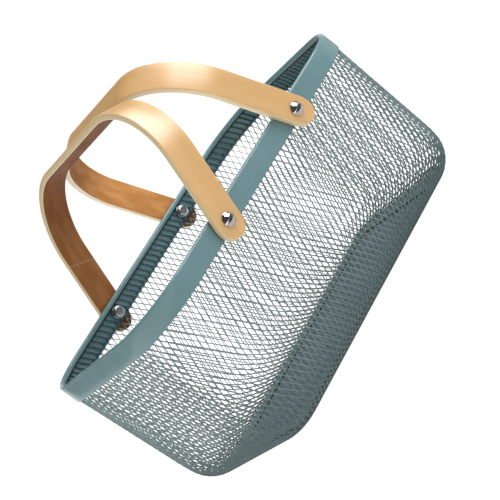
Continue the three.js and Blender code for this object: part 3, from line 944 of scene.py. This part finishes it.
def bent_birch():
    """Lacquered outer faces, and edges that show the plies."""
    material, shader = new_material("birch", (0.6, 0.36, 0.14), 0.36)
    set_inputs(shader, Specular_IOR_Level=0.8, Coat_Weight=1.0, Coat_Roughness=0.34, Coat_IOR=1.75)
    grain = attribute(material, "grain", "Vector")
    streaks = long_streaks(material, grain)
    broad = figure(material, grain, along=0.008, across=0.16, depth=0.1)
    pores = figure(material, grain, along=0.12, across=4.5, depth=4.5)
    face = mix_colours(material, between(material, broad, 0.35, 0.65), *FACE_TONES)
    face = mix_colours(material, between(material, streaks, 0.5, 0.9), face, FACE_STREAK)
    face = mix_colours(material, between(material, pores, 0.66, 0.9), face, FACE_PORE)
    side = mix_colours(material, plies(material, grain), *PLY_TONES)
    edge = between(material, attribute(material, "edge", "Fac"), 0.35, 0.75)
    feed(material, shader.inputs["Base Color"], mix_colours(material, edge, face, side))
    bump(material, shader, streaks, STREAK_STRENGTH, STREAK_DEPTH)
    return material


def birch_inside():
    """Duller and darker inner faces with a blotchy figure, darkened further by painted shade, and the splice.
    """
    material, shader = new_material("birch_inside", (0.4, 0.16, 0.05), 0.55)
    set_inputs(shader, Specular_IOR_Level=0.08)
    grain = attribute(material, "grain", "Vector")
    streaks = long_streaks(material, grain)
    blotches = figure(material, grain, along=0.05, across=0.16, depth=0.1, detail=3.0)
    blotched = between(material, blotches, 0.4, 0.68)
    orange = mix_colours(material, blotched, *ORANGE_TONES)
    painted_shade = mix_colours(material, blotched, *SHADED_BROWN_TONES)
    face = mix_colours(material, attribute(material, "shade", "Fac"), orange, painted_shade)
    face = mix_colours(material, between(material, streaks, 0.55, 0.95), face, INSIDE_STREAK)
    on_splice = calculate(material, "COMPARE", attribute(material, "splice", "Fac"), 0.0, SPLICE_WIDTH)
    feed(material, shader.inputs["Base Color"], mix_colours(material, on_splice, face, SPLICE_TONE))
    bump(material, shader, streaks, STREAK_STRENGTH, STREAK_DEPTH)
    return material


# Camera, light and floor
def look(camera):
    back = Vector((
        math.sin(CAMERA_AZIMUTH) * math.cos(CAMERA_ELEVATION),
        -math.cos(CAMERA_AZIMUTH) * math.cos(CAMERA_ELEVATION),
        math.sin(CAMERA_ELEVATION),
    ))
    right = Vector((math.cos(CAMERA_AZIMUTH), math.sin(CAMERA_AZIMUTH), 0))
    down = (-back).cross(right)
    turn_x, turn_y = math.cos(CAMERA_ROLL), math.sin(CAMERA_ROLL)
    image_right = turn_x * right - turn_y * down
    image_up = -(turn_y * right + turn_x * down)
    place = CAMERA_TARGET + back * CAMERA_DISTANCE - right * CAMERA_ASIDE - down * CAMERA_BELOW
    axes = Matrix((image_right, image_up, back)).transposed().to_4x4()
    camera.matrix_world = Matrix.Translation(place * MM) @ axes


def add_camera():
    data = bpy.data.cameras.new("camera")
    data.sensor_width = SENSOR_WIDTH
    data.lens = FOCAL_PIXELS * SENSOR_WIDTH / FRAME_PIXELS
    data.clip_end = CLIP_END
    camera = bpy.data.objects.new("camera", data)
    bpy.context.collection.objects.link(camera)
    look(camera)
    bpy.context.scene.camera = camera


def add_softbox(name, place, size, power, colour=(1, 1, 1), mirrored=True):
    """A square light that faces the basket. One that isn't mirrored is left out of reflections."""
    data = bpy.data.lights.new(name, "AREA")
    data.shape = "SQUARE"
    data.size = size
    data.energy = power
    data.color = colour
    light = bpy.data.objects.new(name, data)
    light.visible_glossy = mirrored
    light.location = place
    light.rotation_mode = "QUATERNION"
    light.rotation_quaternion = (CAMERA_TARGET * MM - Vector(place)).to_track_quat("-Z", "Y")
    bpy.context.collection.objects.link(light)


def add_floor():
    bpy.ops.mesh.primitive_plane_add(size=FLOOR_SIZE)
    floor = bpy.context.object
    floor.name = "floor"
    material, shader = new_material("floor", (0.3, 0.3, 0.3), 0.8)
    set_inputs(shader, Specular_IOR_Level=0.0, Emission_Color=(1, 1, 1, 1), Emission_Strength=1.0)
    floor.data.materials.append(material)


def add_flag(name, place, size, glow=0.0):
    """A dark studio flag, or one that glows as a grey panel, that lies on the floor and is only seen in
    reflections.
    """
    bpy.ops.mesh.primitive_plane_add(size=1)
    flag = bpy.context.object
    flag.name = name
    flag.data.transform(Matrix.Translation(place) @ Matrix.Diagonal((*size, 1, 1)))
    material, shader = new_material(name, (0.01, 0.01, 0.01), 0.9)
    set_inputs(shader, Emission_Color=FLAG_GLOW_COLOUR, Emission_Strength=glow)
    flag.data.materials.append(material)
    flag.visible_camera = False
    flag.visible_diffuse = False
    flag.visible_transmission = False
    flag.visible_shadow = False


def add_world():
    """A dark studio with a white sweep behind that meets the floor."""
    world = bpy.data.worlds.new("studio")
    world.use_nodes = True
    direction = add_node(world, "ShaderNodeTexCoord").outputs["Generated"]
    low = between(world, component(world, direction, "Z"), *SWEEP_HEIGHT_LIMITS)
    behind = between(world, component(world, direction, "Y"), *SWEEP_SIDE_LIMITS)
    colour = mix_colours(world, calculate(world, "MULTIPLY", low, behind), STUDIO_COLOUR, SWEEP_COLOUR)
    feed(world, world.node_tree.nodes["Background"].inputs["Color"], colour)
    bpy.context.scene.world = world


# The mesh's foot colour is painted shade towards the base
mesh_paint = powder_coat(
    "mesh_paint", dark=(0.20, 0.265, 0.27), light=(0.225, 0.295, 0.30), roughness=0.5,
    foot=(0.10, 0.145, 0.148),
)
# The base's paint is the mesh's paint darkened as painted shade
base_paint_shaded = powder_coat("base_paint_shaded", dark=(0.125, 0.18, 0.193), light=(0.14, 0.2, 0.214), roughness=0.5)
# Dark paint for painted shade: the slots along the seam and the shadow under the band's lip
shadow_paint = powder_coat("shadow_paint", dark=(0.012, 0.02, 0.022), light=(0.018, 0.028, 0.03), roughness=0.6)
# Painted shade: the ribs inside the band and the inner faces of the strands at its lower edge
rib_shade_paint = powder_coat("rib_shade_paint", dark=(0.034, 0.084, 0.102), light=(0.042, 0.10, 0.12), roughness=0.5)
band_paint = powder_coat(
    "band_paint", dark=(0.122, 0.222, 0.242), light=(0.135, 0.242, 0.262), roughness=0.45, coat=0.6
)
birch = bent_birch()
birch_in = birch_inside()
chrome, _ = new_material("dome_chrome", (0.72, 0.70, 0.70), 0.08, Metallic=1.0)
zinc, _ = new_material("screw_zinc", (0.6, 0.61, 0.62), 0.3, Metallic=1.0)

add_camera()
wall_net(mesh_paint, rib_shade_paint)
base_strip(mesh_paint)
base_net(base_paint_shaded)
base_shade_slots(shadow_paint)
rim_band(band_paint)
lip_shadow_ring(shadow_paint)
# Painted shade on the inner faces of each handle: on its arms, and near its grip
for side, sign, arm_shade, grip_shade in (("left", -1, 0.72, 1.0), ("right", 1, 0.0, 0.8)):
    handle(side, sign, arm_shade, grip_shade, birch, birch_in)
    for face in ("front", "back"):
        pivot_hardware(face, side, chrome, zinc)

add_floor()
add_flag("front_flag", place=(2.35, -2.25, 0.004), size=(5.3, 4))
add_flag("left_flag", place=(-2.3, 1.05, 0.004), size=(4, 1.4))
add_flag("right_flag", place=(1.75, 0.25, 0.004), size=(2.9, 1), glow=0.45)
add_flag("near_flag", place=(0.1, -0.22, 0.003), size=(0.9, 0.3), glow=0.6)
add_world()
add_softbox("key", place=(0.85, -0.85, 1.1), size=1.3, power=24)
add_softbox("overhead", place=(0.0, 0.2, 1.6), size=1.0, power=11, mirrored=False)
add_softbox("top", place=(0.85, -0.1, 1.3), size=0.8, power=6)
add_softbox("left", place=(-1.5, -0.6, 0.5), size=0.8, power=6, colour=(1, 0.96, 0.88), mirrored=False)
bpy.context.scene.view_settings.view_transform = "Standard"
